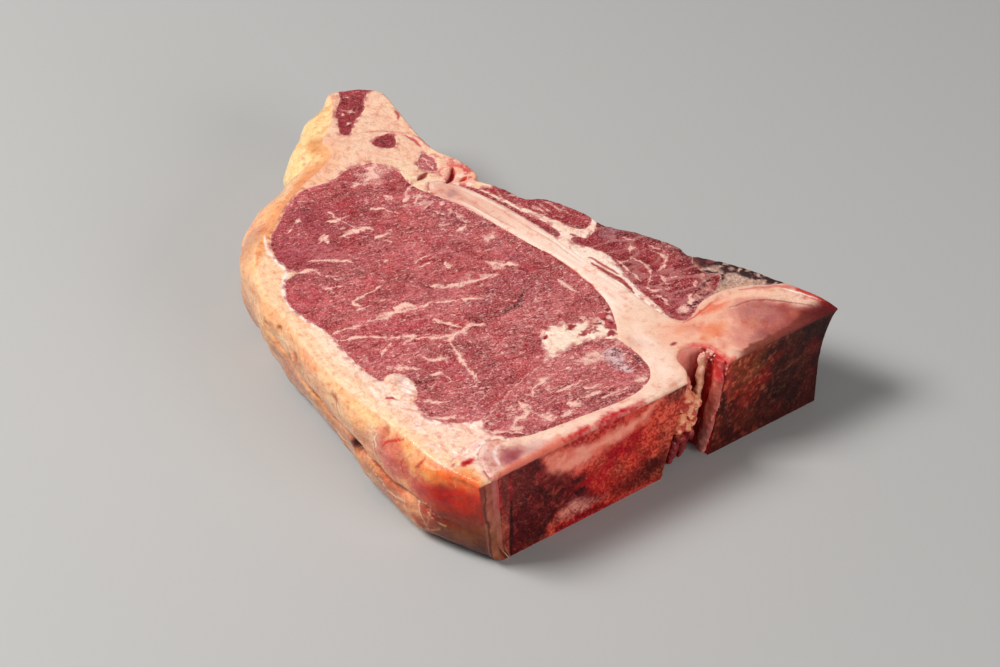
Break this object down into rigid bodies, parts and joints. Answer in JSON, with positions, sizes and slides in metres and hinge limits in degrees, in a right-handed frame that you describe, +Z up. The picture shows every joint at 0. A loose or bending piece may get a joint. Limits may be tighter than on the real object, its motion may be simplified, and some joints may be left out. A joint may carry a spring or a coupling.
{
  "type": "raw t-bone steak",
  "caption": "Raw dry-aged beef steak: strip loin and tenderloin on both sides of a T-shaped sawn bone, with a thick fat rim and a narrow tail.",
  "frame": {"origin": "centre of the steak's bounding box, on the lower cut face it rests on", "axes": "+X along the sawn backbone face, from the spine end to the vertebral body; +Y from the sawn face to the tail; +Z up, out of the upper cut face"},
  "size_m": [0.157, 0.2064, 0.038],
  "materials": {
    "lean": "moist raw beef, purple-red, fine grained and marbled",
    "fat": "waxy beef fat, cream where cut, yellow to orange on the outside",
    "bone": "sawn bone, cream rim, pink to dark red marrow",
    "sinew": "moist pearly tendon and ligament",
    "dried_fat": "dry-aged fat, beige with dark crust"
  },
  "bodies": {
    "root": {"t_bone": "bone", "backstrap": "sinew", "tendon": "sinew", "tenderloin": "lean", "kidney_fat": "dried_fat", "strip_loin": "lean", "chine_muscle": "lean", "fat_wedge": "fat", "stem_lean": "lean", "side_lean": "lean", "tail_lean_tip": "lean", "tail_lean_middle": "lean", "tail_lean_fold": "lean", "fat_cap": "fat", "canal_sheath": "sinew", "canal_ligament": "sinew", "canal_fat": "fat"}
  },
  "joints": []
}
